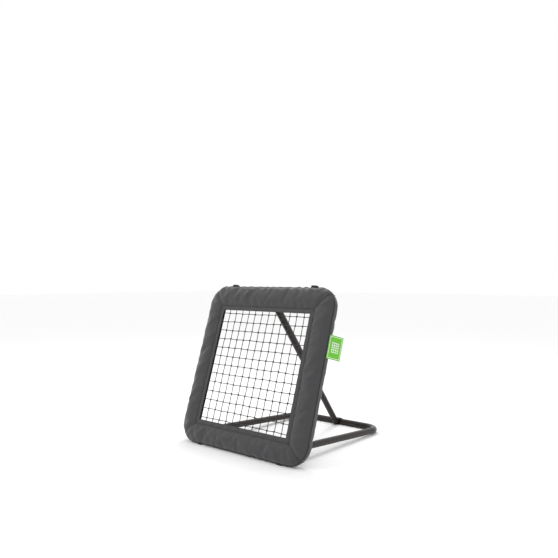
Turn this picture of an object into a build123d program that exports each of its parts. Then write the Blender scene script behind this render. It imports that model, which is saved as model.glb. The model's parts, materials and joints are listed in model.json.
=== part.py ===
from build123d import *
import math
import os

# Folding pitch back rebounder: a net on a padded square frame, a folding floor
# base and a telescopic strut. Millimetres. X is right, -Y is the front, Z is up,
# and Z = 0 is the floor. The frame leans back by TILT about the floor line Y = 0.
# The frame's own pieces are drawn upright (Y = depth behind the padded face,
# Z = height along the frame) and then leaned back as one.

# ---------------------------------------------------------------- frame and pad
TILT = 17.6                 # lean of the frame from upright, degrees
PAD_SIZE = 840.0            # outer side of the square pad
FLOOR_ROOM = 1.24           # between the floor and the pad's lowest point
PAD_DEPTH = 62.0            # pad thickness, front face to back flap
PAD_CORNER = 100.0          # outer corner radius of the pad
PAD_WIDTH = 118.0           # padded strip on each side of the square opening
OPENING_DROP = 9.0          # opening centre below the pad centre
FLAP_WIDTH = 78.0           # back flap of the cover, from the outer edge inwards
COVER_SKIN = 2.0            # thickness of the cover fabric with its lining
FRONT_ROUND = 26.0          # rounding of the cover's outer front edge
BACK_ROUND = 26.0           # rounding of the cover's outer back edge
FOAM_DEPTH = 9.0            # foam in front of the tube
FOAM_SIDE_ROOM = 3.0        # between the foam outside the tube and the tube
FOAM_WIDTH = 104.0          # front foam, from the outer edge inwards
FOAM_ROOM = 1.4             # between the front foam and the tube
FOAM_BACK_ROOM = 3.7        # between the tube and the foam behind it, for the screw heads
SEAM_GAP = 0.3              # between the four mitred cover panels
NOTCH_ROOM = 3.0            # round a bracket in the back flap

TUBE = 34.0                 # outside diameter of the frame, base and inner strut tube
WALL = 1.8                  # wall of those tubes
TUBE_INSET = 58.0           # tube centre line in from the pad's outer edge
TUBE_BEND = 50.0            # centre line radius of the frame corners

SPIGOT_LENGTH = 120.0       # in the frame's side tubes
SPIGOT_SCREWS = 24.0        # each screw from the joint
BASE_SPIGOT_LENGTH = 60.0   # in the rear bar's ends
BASE_SPIGOT_SCREWS = 18.0
SPIGOT_WALL = 1.6
SLIP = 0.1                  # clearance between pieces that only touch
SCREW = 6.0                 # screw and small bolt diameter
SCREW_CLEARANCE = 0.25      # radial room round a screw in its hole
SCREW_HEAD = 11.0
SCREW_HEAD_HEIGHT = 3.2

# ------------------------------------------------------------------------- net
MESH_PITCH = 46.5           # knot to knot
NET_CORD = 3.0
NET_DEPTH = 15.0            # net plane behind the padded face
BORDER_HIDE = 9.0           # border webbing starts this far behind the opening's edge
BORDER_WIDTH = 20.0
BORDER_DEPTH = 3.0
ELASTIC_WIDTH = 16.0
ELASTIC_THICK = 1.2
ELASTICS_PER_SIDE = 6
ELASTIC_END = 62.0          # first elastic from the opening's corner
EYELET_RADIUS = 4.0

# ----------------------------------------------------------------------- pivots
FOLD_ROOM = 3.6             # between the pad's back and the folded strut
BASE_PIVOT_RISE = 16.1      # base pivot above the lower tube's centre line
HEAD_PIVOT_DROP = 28.0      # strut pivot below the upper tube's centre line
PIVOT_BOLT = 10.0
PIVOT_CLEARANCE = 0.06      # radial running clearance on the pivots
BUSH_WALL = 2.0
BRACKET_PLATE = 4.0
EAR_ROUND = 14.0            # radius of a bracket ear round its bolt
EAR_CLEARANCE = 0.4         # between an ear and what turns in it
WASHER = 1.6

# ------------------------------------------------------------------------- base
LEG_INSET = 132.0           # legs' centre lines in from the pad's outer edge
LEG_LENGTH = 751.7          # pivot to the rear bar's centre line
BASE_BEND = 90.0            # centre line radius of the base corners
BEND_TAIL = 33.0            # straight end of a leg after its bend

# ------------------------------------------------------------------------ strut
TUBE_STEP = 4.0             # outer strut tube over the inner one, on the diameter
OUTER_WALL = 1.7
SEAT_STEP = 0.5             # rear bar's centre line from a tangent to the strut's axis
HEAD_GAP = 34.0             # pivot to the outer tube's upper end
OUTER_LENGTH = 468.0
OVERLAP = 115.0             # inner tube inside the outer one at full length
FOOT_GAP = 30.0             # inner tube's lower end above the end of the foot
SLIDE_TRAVEL = 310.0        # how far the strut shortens
SEAT_CLEARANCE = 0.5
SADDLE_PLATE = 4.0
SADDLE_STEP = 2.0           # the foot's seat narrower than the inner strut tube
SADDLE_FROM = 45.0          # the foot's curved seat round the rear bar, from the strut's axis
SADDLE_TO = 100.0           # towards the front, degrees
FOOT_CLEAR = 1.0            # strut foot above the floor
CATCH_ROOM = 3.0            # between the foot's seat and a lug beside it
CATCH_SCREW_X = 13.0
COLLAR_WALL = 5.0
COLLAR_LENGTH = 42.0
KNOB_RADIUS = 21.0
KNOB_LENGTH = 16.0
KNOB_LOBES = 5
STUD = 8.0

# ----------------------------------------------------------------- label, feet
LABEL_LENGTH = 76.0
LABEL_HEIGHT = 112.0
LABEL_THICK = 1.2
LABEL_FLARE = 23.0          # label's swing out from the side wall, degrees
LABEL_DROP = 224.0          # label's upper edge below the pad's upper edge
LABEL_DEPTH = 22.0
FOOT_INSET = 148.0          # foot's middle in from the pad's outer edge
FOOT_WIDTH = 34.0
FOOT_LENGTH = 24.0
FOOT_DEPTH = 30.0           # foot's middle behind the padded face
FOOT_HEIGHT = 12.0
BOLT_AHEAD = 4.0            # foot bolt in front of the foot's middle
HEAD_FLOOR_ROOM = 0.5       # between a lower foot bolt's head and the floor
HEAD_THICK = 2.0
BUMPER_SINK = 8.0           # bumper bolt's seat out from the pad's edge

# --------------------------------------------------------------- worked out
R = TUBE / 2
BORE = R - WALL
OUTER_TUBE = TUBE + TUBE_STEP
TUBE_DEPTH = COVER_SKIN + SLIP + FOAM_DEPTH + FOAM_ROOM + R
PIVOT_DEPTH = PAD_DEPTH + FOLD_ROOM + OUTER_TUBE / 2
PAD_LEAN = (PAD_DEPTH - BACK_ROUND) * math.sin(math.radians(TILT))
PAD_LIFT = (FLOOR_ROOM + BACK_ROUND + PAD_LEAN) / math.cos(math.radians(TILT)) - BACK_ROUND
PAD_MID = PAD_LIFT + PAD_SIZE / 2
OPENING = PAD_SIZE - 2 * PAD_WIDTH
OPEN_MID = PAD_MID - OPENING_DROP
TUBE_HALF = PAD_SIZE / 2 - TUBE_INSET
TUBE_LOW = PAD_MID - TUBE_HALF
TUBE_HIGH = PAD_MID + TUBE_HALF
BASE_PIVOT_V = TUBE_LOW + BASE_PIVOT_RISE
HEAD_PIVOT_V = TUBE_HIGH - HEAD_PIVOT_DROP
EAR_X = R + EAR_CLEARANCE   # inner face of a bracket ear from its own middle
MESH_COLUMNS = int(OPENING / MESH_PITCH)
MESH_ROWS = MESH_COLUMNS + 1
BORDER_INNER = OPENING / 2 + BORDER_HIDE
ELASTIC_SPACING = (OPENING - 2 * ELASTIC_END) / (ELASTICS_PER_SIDE - 1)
LEG_X = PAD_SIZE / 2 - LEG_INSET
BAR_JOINT_X = LEG_X - BASE_BEND - BEND_TAIL
FOOT_X = PAD_SIZE / 2 - FOOT_INSET
BOLT_DEPTH = FOOT_DEPTH - BOLT_AHEAD
SEAT_OFFSET = R - SEAT_STEP
FOAM_SIDE = TUBE_INSET - R - COVER_SKIN - FOAM_SIDE_ROOM
SADDLE_WIDTH = TUBE - SADDLE_STEP
LABEL_LOW = PAD_SIZE - LABEL_DROP - LABEL_HEIGHT


def leaned(depth, height):
    """Y and Z of a point given by its depth and height on the upright frame."""
    lean = math.radians(TILT)
    y = height * math.sin(lean) + depth * math.cos(lean)
    z = height * math.cos(lean) - depth * math.sin(lean)
    return y, z


BASE_Y, BASE_Z = leaned(PIVOT_DEPTH, BASE_PIVOT_V)
HEAD_Y, HEAD_Z = leaned(PIVOT_DEPTH, HEAD_PIVOT_V)
SLOPE = math.degrees(math.asin((BASE_Z - R) / LEG_LENGTH))
BAR_Y = BASE_Y + LEG_LENGTH * math.cos(math.radians(SLOPE))
BAR_DISTANCE = math.hypot(BAR_Y - HEAD_Y, R - HEAD_Z)
SEAT_ANGLE = math.degrees(math.asin(SEAT_OFFSET / BAR_DISTANCE))
STRUT_ANGLE = math.degrees(math.atan2(BAR_Y - HEAD_Y, HEAD_Z - R)) - SEAT_ANGLE
REACH = math.sqrt(BAR_DISTANCE**2 - SEAT_OFFSET**2)
OUTER_END = HEAD_GAP + OUTER_LENGTH
INNER_TOP = OUTER_END - OVERLAP
INNER_END = REACH - FOOT_GAP
FOLD = 90 - TILT + SLOPE
SWING = 90 + TILT - (90 - STRUT_ANGLE)

FRAME = Rot(-TILT, 0, 0)
BASE = Pos(0, BASE_Y, BASE_Z) * Rot(-SLOPE, 0, 0)
STRUT = Pos(0, HEAD_Y, HEAD_Z) * Rot(STRUT_ANGLE, 0, 0)


# ------------------------------------------------------------------- helpers
def save(name, *solids):
    """Write one node: one solid, or a group of separate ones."""
    shape = solids[0] if len(solids) == 1 else Compound(children=list(solids))
    export_step(shape, os.path.join("parts", name + ".step"))


def rod(radius, length, axis="Z", centre=(0, 0, 0)):
    turn = {"X": Rot(0, 90, 0), "Y": Rot(90, 0, 0), "Z": Rot(0, 0, 0)}[axis]
    return Pos(*centre) * turn * Cylinder(radius, length)


def pipe(outer, inner, length, axis="Z", centre=(0, 0, 0)):
    return rod(outer, length, axis, centre) - rod(inner, length + 2, axis, centre)


def block(x0, x1, y0, y1, z0, z1):
    middle = ((x0 + x1) / 2, (y0 + y1) / 2, (z0 + z1) / 2)
    return Pos(*middle) * Box(x1 - x0, y1 - y0, z1 - z0)


def bent_pipe(points, bend, outer, inner):
    """A tube along straight runs in one plane, joined by bends of one radius."""
    path = FilletPolyline(*points, radius=bend)
    start = Plane(origin=path @ 0, z_dir=path % 0)
    return sweep(start * (Circle(outer) - Circle(inner)), path=path)


def button_screw(length, diameter=SCREW, head=SCREW_HEAD):
    """Domed screw along -Z with the seat of its head at the origin."""
    dome = Pos(0, 0, SCREW_HEAD_HEIGHT / 2) * Cylinder(head / 2, SCREW_HEAD_HEIGHT)
    dome = fillet(dome.edges().group_by(Axis.Z)[-1], SCREW_HEAD_HEIGHT * 0.6)
    socket = Pos(0, 0, SCREW_HEAD_HEIGHT) * extrude(RegularPolygon(2.3, 6), -2)
    return dome + Pos(0, 0, -length / 2) * Cylinder(diameter / 2, length) - socket


def hex_nut(across, height, bore):
    return extrude(RegularPolygon(across / math.sqrt(3), 6) - Circle(bore), height)


def square_prism(half, y0, y1, middle, corner=0.0):
    shape = RectangleRounded(2 * half, 2 * half, corner) if corner else Rectangle(2 * half, 2 * half)
    return Pos(0, y1, middle) * Rot(90, 0, 0) * extrude(shape, y1 - y0)


def ear(pivot_y, pivot_z, tube_y, tube_z, x):
    """Bracket cheek from a tube's back to the bolt, BRACKET_PLATE thick from x outwards."""
    outline = make_hull([
        *(Pos(pivot_y, pivot_z) * Circle(EAR_ROUND)).edges(),
        *(Pos(tube_y, tube_z) * Circle(R)).edges(),
    ])
    cheek = Plane.YZ.offset(x) * extrude(outline, BRACKET_PLATE)
    return cheek - rod(R + SLIP / 2, 4 * BRACKET_PLATE, "X", (x, tube_y, tube_z))


# --------------------------------------------------------------- net frame body
def frame_tubes():
    """Two U-shaped halves that meet half way up, with their spigots and screws."""
    low = [(-TUBE_HALF, TUBE_DEPTH, PAD_MID - SLIP), (-TUBE_HALF, TUBE_DEPTH, TUBE_LOW),
           (TUBE_HALF, TUBE_DEPTH, TUBE_LOW), (TUBE_HALF, TUBE_DEPTH, PAD_MID - SLIP)]
    high = [(x, y, 2 * PAD_MID - z) for x, y, z in low]
    lower = bent_pipe(low, TUBE_BEND, R, BORE)
    upper = bent_pipe(high, TUBE_BEND, R, BORE)
    spigots, screws = [], []
    for x in (-TUBE_HALF, TUBE_HALF):
        spigot = pipe(BORE - SLIP, BORE - SPIGOT_WALL, SPIGOT_LENGTH, "Z", (x, TUBE_DEPTH, PAD_MID))
        for z in (PAD_MID - SPIGOT_SCREWS, PAD_MID + SPIGOT_SCREWS):
            hole = rod(SCREW / 2 + SCREW_CLEARANCE, R + 6, "Y", (x, TUBE_DEPTH + R / 2 + 3, z))
            lower, upper, spigot = lower - hole, upper - hole, spigot - hole
            seat = Pos(x, TUBE_DEPTH + R, z) * Rot(-90, 0, 0)
            screws.append(seat * button_screw(WALL + SPIGOT_WALL + 3))
        spigots.append(spigot)
    return lower, upper, spigots, screws


def cover_ring(inset):
    """The pad's rounded outside, pulled in by inset."""
    half = PAD_SIZE / 2 - inset
    solid = square_prism(half, inset, PAD_DEPTH - inset, PAD_MID, PAD_CORNER - inset)
    front = solid.faces().sort_by(Axis.Y)[0].edges()
    solid = fillet(front, FRONT_ROUND - inset)
    back = solid.faces().sort_by(Axis.Y)[-1].edges()
    return fillet(back, BACK_ROUND - inset)


def quarter(side):
    """Wedge that holds one side of the pad, as seen from the front."""
    reach = PAD_SIZE
    wedge = Polygon((0, 0), (reach, reach), (-reach, reach), align=None)
    wedge = Pos(0, SEAM_GAP) * wedge
    turn = {"top": 0, "left": 90, "bottom": 180, "right": 270}[side]
    return Pos(0, PAD_DEPTH + 1, PAD_MID) * Rot(90, 0, 0) * Rot(0, 0, turn) * extrude(wedge, PAD_DEPTH + 2)


def foot_holes():
    reach = TUBE_INSET + PAD_SIZE
    holes = [rod(SCREW / 2 + SCREW_CLEARANCE, reach + 60, "Z", (x, BOLT_DEPTH, PAD_MID))
             for x in (-FOOT_X, FOOT_X)]
    return holes


def cover_and_foam():
    """Four mitred cover panels and the four foam strips inside them."""
    half = PAD_SIZE / 2
    shell = cover_ring(0) - cover_ring(COVER_SKIN)
    shell -= square_prism(OPENING / 2, -1, COVER_SKIN + 1, OPEN_MID)
    shell -= square_prism(half - FLAP_WIDTH, PAD_DEPTH - COVER_SKIN - 1, PAD_DEPTH + 1, PAD_MID)
    inside = cover_ring(COVER_SKIN + SLIP)
    face = COVER_SKIN + SLIP + FOAM_DEPTH
    behind = TUBE_DEPTH + R + FOAM_BACK_ROOM
    foam = inside - square_prism(half - FOAM_WIDTH, -1, PAD_DEPTH, PAD_MID)
    foam -= square_prism(half - FLAP_WIDTH, behind - 1, PAD_DEPTH, PAD_MID)
    core = half - COVER_SKIN - FOAM_SIDE
    foam -= square_prism(core, face, behind, PAD_MID, TUBE_BEND + R)
    for hole in foot_holes() + bracket_notches():
        shell, foam = shell - hole, foam - hole
    return shell, foam


def bracket_notches():
    """Cut-outs in the back flap, open to its inner edge, that clear the three brackets."""
    wide = EAR_X + BRACKET_PLATE + NOTCH_ROOM
    y0 = TUBE_DEPTH - R - NOTCH_ROOM / 2
    notches = []
    for x in (-LEG_X, LEG_X):
        notches.append(block(x - wide, x + wide, y0, PAD_DEPTH + 1,
                             TUBE_LOW - R - NOTCH_ROOM, PAD_LIFT + FLAP_WIDTH + 1))
    notches.append(block(-wide, wide, y0, PAD_DEPTH + 1,
                         PAD_LIFT + PAD_SIZE - FLAP_WIDTH - 1, TUBE_HIGH + R + NOTCH_ROOM))
    return notches


def brackets():
    """Hinge brackets on the lower tube and the head bracket on the upper one."""
    low, head = [], []
    for middle in (-LEG_X, LEG_X):
        low.append([ear(PIVOT_DEPTH, BASE_PIVOT_V, TUBE_DEPTH, TUBE_LOW, x)
                    for x in (middle - EAR_X - BRACKET_PLATE, middle + EAR_X)])
    head = [ear(PIVOT_DEPTH, HEAD_PIVOT_V, TUBE_DEPTH, TUBE_HIGH, x)
            for x in (-EAR_X - BRACKET_PLATE, EAR_X)]
    return low, head


def bracket(cheeks, middle, pivot_v, tube_v):
    """Two cheeks joined by a web behind the tube and drilled for the bolt."""
    web_y = TUBE_DEPTH + R + SLIP
    lean = 1 if pivot_v > tube_v else -1
    low, high = sorted((tube_v - lean * (R - 4), tube_v + lean * 2))
    web = block(middle - EAR_X - SLIP, middle + EAR_X + SLIP, web_y, web_y + BRACKET_PLATE, low, high)
    body = cheeks[0] + cheeks[1] + web
    hole = PIVOT_BOLT / 2 + PIVOT_CLEARANCE
    return body - rod(hole, 4 * EAR_X, "X", (middle, PIVOT_DEPTH, pivot_v))


def pivot_bolt(middle, pivot_v):
    """Hexagon bolt, washers and lock nut through a bracket, along X."""
    outer = EAR_X + BRACKET_PLATE
    shank = 2 * outer + 2 * WASHER + 12
    bolt = rod(PIVOT_BOLT / 2, shank, "Z", (0, 0, -shank / 2)) + extrude(RegularPolygon(9.8, 6), 6.5)
    bolt = Pos(middle + outer + WASHER, PIVOT_DEPTH, pivot_v) * Rot(0, 90, 0) * bolt
    nut = hex_nut(17, 9, PIVOT_BOLT / 2 + SLIP)
    nut = Pos(middle - outer - WASHER, PIVOT_DEPTH, pivot_v) * Rot(0, -90, 0) * nut
    washers = [pipe(10.5, PIVOT_BOLT / 2 + SLIP, WASHER, "X", (middle + side * (outer + WASHER / 2),
                    PIVOT_DEPTH, pivot_v)) for side in (-1, 1)]
    return bolt, nut, washers


def feet():
    """Lower feet are cut level with the floor; the upper bumpers are the same moulding."""
    lower, upper, bolts = [], [], []
    floor = Rot(TILT, 0, 0) * block(-PAD_SIZE, PAD_SIZE, -200, 200, -200, 0)
    floor_low = (BOLT_DEPTH + SCREW_HEAD / 2) * math.tan(math.radians(TILT))
    seat_low = floor_low + HEAD_FLOOR_ROOM + HEAD_THICK
    for x in (-FOOT_X, FOOT_X):
        for edge, sign, group in ((PAD_LIFT, -1, lower), (PAD_LIFT + PAD_SIZE, 1, upper)):
            low, high = sorted((edge, edge + sign * FOOT_HEIGHT))
            pad = block(x - FOOT_WIDTH / 2, x + FOOT_WIDTH / 2, FOOT_DEPTH - FOOT_LENGTH / 2,
                        FOOT_DEPTH + FOOT_LENGTH / 2, low, high)
            pad = fillet(pad.edges().filter_by(Axis.Z), 6)
            if sign < 0:
                pad -= floor
            pad -= rod(SCREW / 2 + SCREW_CLEARANCE, 80, "Z", (x, BOLT_DEPTH, edge))
            sunk = seat_low if sign < 0 else edge + BUMPER_SINK
            pad -= rod(SCREW_HEAD / 2 + 0.3, 20, "Z", (x, BOLT_DEPTH, sunk + sign * 10))
            group.append(pad)
            turn = Rot(0, 0, 0) if sign > 0 else Rot(180, 0, 0)
            seat = Pos(x, BOLT_DEPTH, sunk) * turn
            tube_face = TUBE_INSET - math.sqrt(R**2 - (TUBE_DEPTH - BOLT_DEPTH)**2)
            bolts.append(seat * foot_bolt(tube_face + sign * (sunk - edge) - 1))
    return lower, upper, bolts


def foot_bolt(length):
    head = Pos(0, 0, HEAD_THICK / 2) * Cylinder(SCREW_HEAD / 2, HEAD_THICK)
    return head + Pos(0, 0, -length / 2) * Cylinder(SCREW / 2, length)


def net_pieces():
    """Knotted net, its border webbing, and the elastics that stretch it to the tube."""
    reach = BORDER_INNER - SLIP
    y0, y1 = NET_DEPTH - NET_CORD / 2, NET_DEPTH + NET_CORD / 2
    half = NET_CORD / 2
    bars = []
    for i in range(MESH_COLUMNS):
        x = (i - (MESH_COLUMNS - 1) / 2) * MESH_PITCH
        bars.append(block(x - half, x + half, y0, y1, OPEN_MID - reach, OPEN_MID + reach))
    for j in range(MESH_ROWS):
        z = OPEN_MID + (j - (MESH_ROWS - 1) / 2) * MESH_PITCH
        bars.append(block(-reach, reach, y0, y1, z - half, z + half))
    net = bars[0].fuse(*bars[1:])
    outer = BORDER_INNER + BORDER_WIDTH
    webbing, elastics, eyelets = [], [], []
    for side in range(4):
        turn = Pos(0, 0, OPEN_MID) * Rot(0, 90 * side, 0)
        strip = block(-BORDER_INNER + SLIP, outer, NET_DEPTH - BORDER_DEPTH / 2,
                      NET_DEPTH + BORDER_DEPTH / 2, BORDER_INNER, outer)
        gap = (TUBE_HIGH - OPEN_MID, TUBE_HALF, OPEN_MID - TUBE_LOW, TUBE_HALF)[side]
        for k in range(ELASTICS_PER_SIDE):
            x = (k - (ELASTICS_PER_SIDE - 1) / 2) * ELASTIC_SPACING
            place = Pos(x, 0, 0)
            strip -= rod(EYELET_RADIUS + SLIP, 20, "Y", (x, NET_DEPTH, BORDER_INNER + BORDER_WIDTH / 2))
            elastics.append(turn * place * elastic(gap))
            eyelets.append(turn * place * eyelet())
        webbing.append(turn * strip)
    return net, webbing, elastics, eyelets


def elastic(gap):
    """Flat elastic: a loop round the tube and a tongue under the eyelet."""
    inner = R + SLIP
    loop = pipe(inner + ELASTIC_THICK, inner, ELASTIC_WIDTH, "X", (0, TUBE_DEPTH, gap))
    back = NET_DEPTH + BORDER_DEPTH / 2 + SLIP
    start = gap - math.sqrt((inner + 0.4)**2 - (TUBE_DEPTH - back - ELASTIC_THICK / 2)**2)
    tongue = block(-ELASTIC_WIDTH / 2, ELASTIC_WIDTH / 2, back, back + ELASTIC_THICK,
                   BORDER_INNER + 1, start)
    tongue -= rod(EYELET_RADIUS + SLIP, 20, "Y", (0, back, BORDER_INNER + BORDER_WIDTH / 2))
    return loop + tongue


def eyelet():
    front = NET_DEPTH - BORDER_DEPTH / 2
    back = NET_DEPTH + BORDER_DEPTH / 2 + SLIP + ELASTIC_THICK
    z = BORDER_INNER + BORDER_WIDTH / 2
    barrel = pipe(EYELET_RADIUS, EYELET_RADIUS - 1, back - front + 1.2, "Y", (0, (front + back + 0.6) / 2, z))
    return barrel + pipe(EYELET_RADIUS + 2.5, EYELET_RADIUS - 0.5, 0.8, "Y", (0, back + 0.6, z))


def side_label():
    tag = block(0, LABEL_THICK, 0, LABEL_LENGTH, 0, LABEL_HEIGHT)
    tag = Rot(0, 0, -LABEL_FLARE) * tag
    return Pos(PAD_SIZE / 2 + SLIP, LABEL_DEPTH, PAD_LIFT + LABEL_LOW) * tag


# --------------------------------------------------------------------- base body
def base_pieces():
    """Bent legs, straight rear bar, spigots, screws, and the bushed leg ends."""
    bar = rod(R, 2 * (BAR_JOINT_X - SLIP), "X", (0, LEG_LENGTH, 0))
    bar -= rod(BORE, 3 * BAR_JOINT_X, "X", (0, LEG_LENGTH, 0))
    legs, spigots, screws, bushes, ends = [], [], [], [], []
    for side in (-1, 1):
        x = side * LEG_X
        points = [(x, EAR_ROUND + 6, 0), (x, LEG_LENGTH, 0), (side * BAR_JOINT_X, LEG_LENGTH, 0)]
        leg = bent_pipe(points, BASE_BEND, R, BORE)
        spigot = pipe(BORE - SLIP, BORE - SPIGOT_WALL, BASE_SPIGOT_LENGTH, "X",
                      (side * BAR_JOINT_X, LEG_LENGTH, 0))
        for dx in (-BASE_SPIGOT_SCREWS, BASE_SPIGOT_SCREWS):
            centre = (side * BAR_JOINT_X + dx, LEG_LENGTH - R / 2 - 3, 0)
            hole = rod(SCREW / 2 + SCREW_CLEARANCE, R + 6, "Y", centre)
            leg, bar, spigot = leg - hole, bar - hole, spigot - hole
            seat = Pos(centre[0], LEG_LENGTH - R, 0) * Rot(90, 0, 0)
            screws.append(seat * button_screw(WALL + SPIGOT_WALL + 3))
        legs.append(leg)
        spigots.append(spigot)
        bush = PIVOT_BOLT / 2 + PIVOT_CLEARANCE
        bushes.append(pipe(bush + BUSH_WALL, bush, 2 * R, "X", (x, 0, 0)))
        ends.append(leg_end(x, bush + BUSH_WALL + SLIP / 2))
    return legs, bar, spigots, screws, bushes, ends


def leg_end(x, hole):
    """Forged end: an eye round the bush and a plug inside the leg."""
    eye = rod(EAR_ROUND, 2 * R, "X", (x, 0, 0))
    neck = block(x - R + 4, x + R - 4, 0, EAR_ROUND + 6 - SLIP, -R + 6, R - 6)
    plug = rod(BORE - SLIP, 36, "Y", (x, EAR_ROUND + 6 + 16, 0))
    collar = rod(R, 3, "Y", (x, EAR_ROUND + 4.4, 0))
    return eye + neck + collar + plug - rod(hole, 3 * R, "X", (x, 0, 0))


def foot_catch():
    """Clamped strap over the rear bar whose two lugs hold the strut's foot sideways."""
    inner = R + SLIP
    lug_x = SADDLE_WIDTH / 2 + CATCH_ROOM
    strap = pipe(inner + SADDLE_PLATE, inner, 2 * lug_x + 2 * SADDLE_PLATE, "X", (0, 0, 0))
    keep = block(-99, 99, 0, 99, -99, 99) - block(-99, 99, 0, 99, -99, -R * 0.8)
    strap = strap & keep
    body = [strap]
    for x in (-lug_x - SADDLE_PLATE, lug_x):
        cheek = block(x, x + SADDLE_PLATE, -34, 2, -6, R + SADDLE_PLATE)
        cheek = fillet(cheek.edges().filter_by(Axis.X).group_by(Axis.Y)[0], 9)
        cheek -= rod(inner, 99, "X", (0, 0, 0))
        body.append(cheek)
    screws = [Pos(x, inner + SADDLE_PLATE, 0) * Rot(-90, 0, 0) * button_screw(WALL + SADDLE_PLATE + 2)
              for x in (-CATCH_SCREW_X, CATCH_SCREW_X)]
    catch = body[0] + body[1] + body[2]
    for x in (-CATCH_SCREW_X, CATCH_SCREW_X):
        catch -= rod(SCREW / 2 + SCREW_CLEARANCE, 40, "Y", (x, 20, 0))
    return catch, screws


# -------------------------------------------------------------------- strut bodies
def strut_outer_pieces():
    """Outer tube, eye at its head, guide bush and clamp collar at its lower end."""
    outer = OUTER_TUBE / 2
    middle = -(HEAD_GAP + OUTER_LENGTH / 2)
    tube = pipe(outer, outer - OUTER_WALL, OUTER_LENGTH, "Z", (0, 0, middle))
    bush = PIVOT_BOLT / 2 + PIVOT_CLEARANCE
    eye = rod(EAR_ROUND, 2 * R, "X") + block(-R + 2, R - 2, -R + 7, R - 7, -HEAD_GAP + SLIP, 0)
    eye += rod(outer, 5, "Z", (0, 0, -HEAD_GAP + 2.6))
    eye += rod(outer - OUTER_WALL - SLIP, 32, "Z", (0, 0, -HEAD_GAP - 14))
    eye -= rod(bush + BUSH_WALL + SLIP / 2, 99, "X")
    sleeve = pipe(bush + BUSH_WALL, bush, 2 * R, "X")
    hole = rod(SCREW / 2 + SCREW_CLEARANCE, outer * 4, "Y", (0, 0, -HEAD_GAP - 16))
    rivet = Pos(0, outer, -HEAD_GAP - 16) * Rot(-90, 0, 0) * button_screw(outer * 2 - OUTER_WALL)
    collar_mid = -(OUTER_END - COLLAR_LENGTH / 2 + COLLAR_WALL)
    collar = rod(outer + COLLAR_WALL, COLLAR_LENGTH, "Z", (0, 0, collar_mid))
    collar = fillet(collar.edges().group_by(Axis.Z)[0] + collar.edges().group_by(Axis.Z)[-1], 2)
    boss = rod(9, COLLAR_WALL + 14, "X", (outer + 4, 0, collar_mid))
    collar = collar + boss - rod(outer + SLIP, OUTER_END, "Z", (0, 0, -OUTER_END / 2))
    collar -= rod(R + 0.3, 200, "Z", (0, 0, collar_mid))
    threaded = rod(STUD / 2 + 0.06, 60, "X", (outer + 10, 0, collar_mid))
    return tube - hole - threaded, eye - hole, sleeve, rivet, collar - threaded


def clamp_knob():
    """Five-lobed knob on a stud; the stud stops short of the inner tube."""
    z = -(OUTER_END - COLLAR_LENGTH / 2 + COLLAR_WALL)
    start = OUTER_TUBE / 2 + COLLAR_WALL + 9.5 + 1
    disc = Circle(KNOB_RADIUS * 0.82)
    for k in range(KNOB_LOBES):
        disc += Rot(0, 0, 360 * k / KNOB_LOBES) * Pos(KNOB_RADIUS * 0.68, 0) * Circle(KNOB_RADIUS * 0.32)
    knob = extrude(disc, KNOB_LENGTH)
    knob = fillet(knob.edges().group_by(Axis.Z)[-1], 2.5)
    knob += Pos(0, 0, KNOB_LENGTH / 2 - 3) * Cylinder(8, KNOB_LENGTH + 6)
    knob -= Cylinder(STUD / 2 + SLIP, 2 * KNOB_LENGTH - 6)
    knob = Pos(start + 6, 0, z) * Rot(0, 90, 0) * knob
    tip = R + 0.4
    stud_end = start + 6 + KNOB_LENGTH - 4
    stud = rod(STUD / 2, stud_end - tip, "X", ((tip + stud_end) / 2, 0, z))
    return knob, stud


def strut_inner_pieces():
    """Inner tube, its glide inside the outer tube, and the foot that sits on the rear bar."""
    tube = pipe(R, BORE, INNER_END - INNER_TOP, "Z", (0, 0, -(INNER_TOP + INNER_END) / 2))
    glide = rod(BORE - SLIP, 24, "Z", (0, 0, -INNER_TOP - 10)) + rod(R, 4, "Z", (0, 0, -INNER_TOP + 2.1))
    seat_y, seat_z = SEAT_OFFSET, -REACH
    radius = R + SEAT_CLEARANCE
    saddle = pipe(radius + SADDLE_PLATE, radius, SADDLE_WIDTH, "X", (0, seat_y, seat_z))
    rays = [math.radians(a) for a in (SADDLE_FROM, (SADDLE_FROM + SADDLE_TO) / 2, SADDLE_TO)]
    wedge = Polygon((0, 0), *[(-3 * R * math.sin(a), 3 * R * math.cos(a)) for a in rays], align=None)
    wedge = Plane.YZ.offset(-SADDLE_WIDTH) * extrude(wedge, 2 * SADDLE_WIDTH)
    saddle = saddle & (Pos(0, seat_y, seat_z) * wedge)
    neck = rod(R - 1, FOOT_GAP, "Z", (0, 0, -INNER_END - FOOT_GAP / 2 - 1))
    neck -= rod(radius + 9, 99, "X", (0, seat_y, seat_z))
    plug = rod(BORE - SLIP, 34, "Z", (0, 0, -INNER_END + 13))
    web = block(-5, 5, -R + 2, 3, -INNER_END - FOOT_GAP, -INNER_END)
    web -= rod(radius + 1, 99, "X", (0, seat_y, seat_z))
    neck += rod(R, 4, "Z", (0, 0, -INNER_END - 2.1))
    foot = neck + plug + web + saddle
    foot -= STRUT.inverse() * block(-99, 99, BAR_Y - 200, BAR_Y + 99, -99, FOOT_CLEAR)
    pin_z = -INNER_END + 16
    hole = rod(SCREW / 2 + SCREW_CLEARANCE, 99, "Y", (0, 0, pin_z))
    rivet = Pos(0, -R, pin_z) * Rot(90, 0, 0) * button_screw(2 * R - WALL)
    return tube - hole, glide, foot - hole, rivet


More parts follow.
